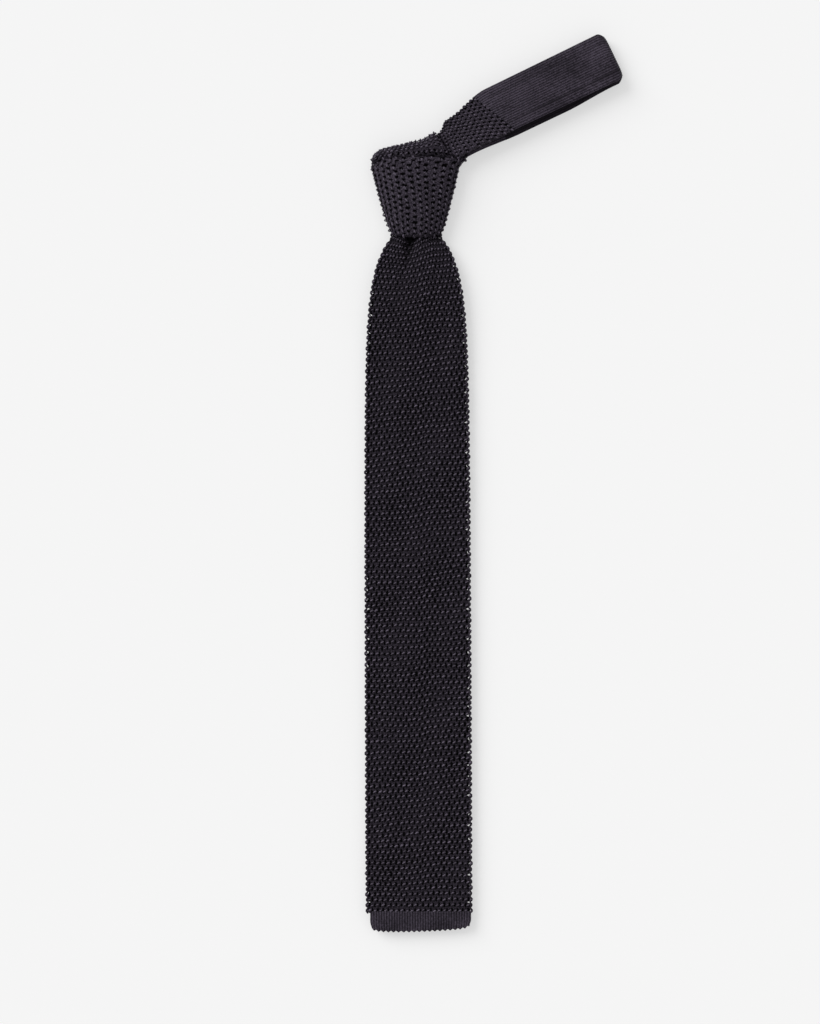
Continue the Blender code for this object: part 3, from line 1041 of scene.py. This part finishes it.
loop = {
    "origin": (16.65 * mm, 31.03 * mm),
    "angle": math.radians(25.6),
    "last": 99.6 * mm,
    "meshEnd": 28.6 * mm,
    "slant": 6.6 * mm,  # the mesh ends further out at the lower edge than at the upper one, by twice this
    "knotZ": 11.0 * mm,
    "upperZ": 9.6 * mm,
    "slopeRun": 78 * mm,
    "lowZ": 0.35 * mm,
    "upperEdge": 13.5 * mm,
    "lowerEdge": -14.3 * mm,
    "spread": (0.009, 0.4),  # widening outwards, and the lower edge's share of it
    "gathers": ((6.2 * mm, 30 * mm, 2 * mm), (4.5 * mm, 3 * mm, -5 * mm)),  # upper edge, towards the knot
    "lowerGather": (1.0 * mm, 12 * mm),
    "lowerShift": 2.7 * mm,  # how far the lower leg bows out below the upper one
    "shiftFades": ((1.6 * mm, 66 * mm, 97 * mm), (1.5 * mm, 38 * mm, 8 * mm)),
    "stitches": 10,
    "courses": 15,
    "scale": 0.9,
    "thick": 0.8,
    "edgeThick": 0.5,
    "fine": 6,
    "strapStart": -7.0 * mm,
    "strapOver": 0.6 * mm,
    "strapSlant": 0.6,
    "strapDip": (5.5 * mm, 1 * mm, -9 * mm),
    "strapStep": (0.3, 0.12, 7.0, 2.0),
    "bandKnit": (21, 150, 201, 1.7, 0.13),  # ribs, courses, rows, thickness and relief
    "rootKnit": (21, 31, 41, 1.7, 0.13),
    "rootY": (0.5 * mm, 1.5 * mm, 0.06 * mm, 0.25 * mm),  # overlap, inner end, lift and narrowing
    "corner": (1.3 * mm, 0.2 * mm),
    "bendEdge": 0.16,
    "creases": (0.63, 0.045, 0.45, 0.25),  # place, half width, and strength of the painted crease shade on the lower and upper side
    "bands": (22.0, 3.0, 0.22),
    "bandTone": 1.05,
    "underShade": 0.64,
}
loopAhead = np.array((math.cos(loop["angle"]), math.sin(loop["angle"]), 0.0))
loopSide = np.array((-loopAhead[1], loopAhead[0], 0.0))


def loopPlace(distance, across, height, shift=0.0, narrow=0.0):
    # across runs from -1 at the lower edge to 1 at the upper one. Both edges run nearly straight; towards
    # the knot the upper one comes in by two S curves and the lower one goes out by a decaying part.
    widen, lowerShare = loop["spread"]
    spread = widen * distance
    (much, high, low), (endMuch, endHigh, endLow) = loop["gathers"]
    gather = much * (1 - smooth(low, high, distance)) + endMuch * smooth(endHigh, endLow, distance)
    lowerMuch, lowerRun = loop["lowerGather"]
    upper = loop["upperEdge"] + spread - narrow - gather
    lower = loop["lowerEdge"] - lowerShare * spread + narrow - lowerMuch * np.exp(-distance / lowerRun)
    aside = mixed(lower, upper, (across + 1) / 2) - shift
    flat = distance[..., None] * loopAhead + aside[..., None] * loopSide
    return stack(loop["origin"][0] + flat[..., 0], loop["origin"][1] + flat[..., 1], height)


def legHeight(distance):
    return mixed(loop["knotZ"], loop["upperZ"], np.clip(distance / loop["slopeRun"], 0, 1))


def lowerShift(distance):
    # full between the knot and the bend, less at both ends by S curves
    fades = (much * smooth(low, high, distance) for much, low, high in loop["shiftFades"])
    return loop["lowerShift"] - sum(fades)


def strapSurface(a, t):
    # Along the upper leg from inside the knot to its slanting end, dipping into the knot by an S curve.
    slant = loop["slant"] * a * smooth(0.0, loop["strapSlant"], t)
    distance = mixed(loop["strapStart"], loop["meshEnd"] + loop["strapOver"], t) - slant
    deep, high, low = loop["strapDip"]
    return loopPlace(distance, a + 0.0 * t, legHeight(distance) - deep * smooth(high, low, distance))


def strapStep(a, t):
    tilt, much, along, across = loop["strapStep"]
    return tilt * a * (1 - t) + much * np.sin(along * t + across * a)


strapSize = (loop["stitches"], loop["courses"])
strapLook = {"step": strapStep, "scale": loop["scale"]}
strapKnit = openKnit("strapKnit", strapSurface, *strapSize, strand=wrapYarn, **strapLook)
strapGround = meshGround("strapGround", strapSurface, *strapSize, wrapCloth, fine=loop["fine"],
                         thick=loop["thick"], **strapLook)
strapEdge = selvedge("strapEdge", strapSurface, *strapSize, thick=loop["edgeThick"], **strapLook)


def bandSurface(a, t):
    # Out along the upper leg, half round the bend, and back along the lower leg.
    end = loop["last"]
    start = loop["meshEnd"] - loop["slant"] * a
    radius = (loop["upperZ"] - loop["lowZ"]) / 2
    leg, arc = end - start, np.pi * radius
    path = t * (leg + arc + end - loop["meshEnd"])
    turn = np.clip((path - leg) / arc, 0.0, 1.0) * np.pi
    distance = np.where(path < leg, start + path, np.where(path > leg + arc, end - (path - leg - arc), end))
    height = np.where(path < leg, legHeight(distance), loop["lowZ"] + radius + radius * np.cos(turn))
    lower = smooth(0.0, 1.0, turn / np.pi)
    much, everywhere = loop["corner"]
    narrow = much * np.sin(turn) ** 2 + everywhere
    base = loopPlace(distance, a + 0.0 * t, height, lowerShift(distance) * lower, narrow)
    out = radius * np.sin(turn) * (1 - loop["bendEdge"] * np.abs(a) ** 6)
    return base + out[..., None] * loopAhead


def bandShade(a, t):
    # painted shade in faint lengthwise creases near the edges, darker bands across, and painted shadow on the
    # lower leg's edge in the upper one's shade
    place, half, lowerDeep, upperDeep = loop["creases"]
    crease = bell(np.abs(a) - place, half) * np.where(a < 0, lowerDeep, upperDeep)
    along, across, much = loop["bands"]
    bands = 0.5 + 0.5 * np.sin(along * t + across * a)
    under = smooth(0.51, 0.57, t) * smooth(-0.5, -0.8, a)
    tone = loop["bandTone"] - crease * smooth(0.0, 0.05, t) - much * bands * smooth(0.05, 0.2, t)
    return tone * (1 - loop["underShade"] * under)


def rootSurface(a, t):
    # The lower leg's last part, which goes in under the knot.
    overlap, inner, lift, narrow = loop["rootY"]
    distance = mixed(loop["meshEnd"] + overlap, inner, t) + 0.0 * a
    height = loop["lowZ"] + lift + 0.0 * distance
    return loopPlace(distance, a + 0.0 * t, height, lowerShift(distance), narrow)


neckBand = fineSheet("neckBand", bandSurface, *loop["bandKnit"], bandShade)
neckRoot = fineSheet("neckRoot", rootSurface, *loop["rootKnit"])
print("neck loop: strap, band and lower root done")

for piece in (strapKnit, strapGround, strapEdge, neckRoot):
    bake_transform(piece)
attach(neckBand, "neck_loop")
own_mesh(neckBand)
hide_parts("neckband_mesh_strap")
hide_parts("neckband_upper_leg", "neckband_bend", "neckband_lower_leg")

tail = {
    "start": 15.5 * mm,
    "pivotY": -38.6 * mm,
    "throatHalf": 10.3 * mm,
    "half": 22.6 * mm,
    "flare": 36.0 * mm,
    "slope": (-26 * mm, 22 * mm),  # where it starts down to the table, and over what length
    "meshStart": -215.0 * mm,
    "meshOver": 0.4 * mm,
    "meshLift": 0.15 * mm,
    "meshEnd": -384.0 * mm,
    "hemOver": 0.8 * mm,
    "hemEnd": -392.0 * mm,
    "hemInset": 1.2 * mm,
    "scallop": (0.3 * mm, 30, 0.8),
    "channelZ": 4.35 * mm,
    "restZ": 2.2 * mm,
    "stitches": 15,
    "courses": 54,
    "scale": 0.72,
    "thick": 0.75,
    "edgeThick": 0.5,
    "fineKnit": (32, 230, 241, 1.6, 0.12),  # ribs, courses, rows, thickness and relief
    "hemKnit": (30, 10, 21, 1.6, 0.1),
}


def tailNeckSurface(a, t):
    # Gathered narrow in the knot, sloping down to the table and flaring to the full width by an S curve.
    y = mixed(tail["start"], tail["meshStart"], t)
    half = mixed(tail["throatHalf"], tail["half"], smooth(0.0, 1.0, (tail["pivotY"] - y) / tail["flare"]))
    slopeStart, slopeRun = tail["slope"]
    z = mixed(tail["channelZ"], tail["restZ"], smooth(0.0, 1.0, (slopeStart - y) / slopeRun))
    return stack(a * half, y, z)


def tailMeshSurface(a, t):
    # flat on the table
    y = mixed(tail["meshStart"] + tail["meshOver"], tail["meshEnd"], t)
    return stack(a * tail["half"], y + 0.0 * a, tail["restZ"] + tail["meshLift"] + 0.0 * a * t)


def tailHemSurface(a, t):
    # flat, with an end scalloped by cos(pi rib)
    y = mixed(tail["meshEnd"] + tail["hemOver"], tail["hemEnd"], t)
    deep, count, from_ = tail["scallop"]
    scallop = deep * np.cos(np.pi * count * (a + 1) / 2) * smooth(from_, 1.0, t)
    return stack(a * (tail["half"] - tail["hemInset"]) + 0.0 * t, y + scallop, tail["restZ"] + 0.0 * a * t)


tailFine = fineSheet("tailFine", tailNeckSurface, *tail["fineKnit"])
tailSize = (tail["stitches"], tail["courses"])
tailKnit = openKnit("tailKnit", tailMeshSurface, *tailSize, scale=tail["scale"])
tailGround = meshGround("tailGround", tailMeshSurface, *tailSize, meshCloth, thick=tail["thick"],
                        scale=tail["scale"])
tailEdge = selvedge("tailEdge", tailMeshSurface, *tailSize, scale=tail["scale"], thick=tail["edgeThick"])
tailHem = fineSheet("tailHem", tailHemSurface, *tail["hemKnit"])
print("tail: fine part, mesh part and hem done")

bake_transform(tailFine)
for piece in (tailKnit, tailGround, tailEdge, tailHem):
    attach(piece, "tail")
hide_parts("tail_strand", "tail_fine_panel")
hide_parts("tail_mesh_panel")
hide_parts("tail_hem")
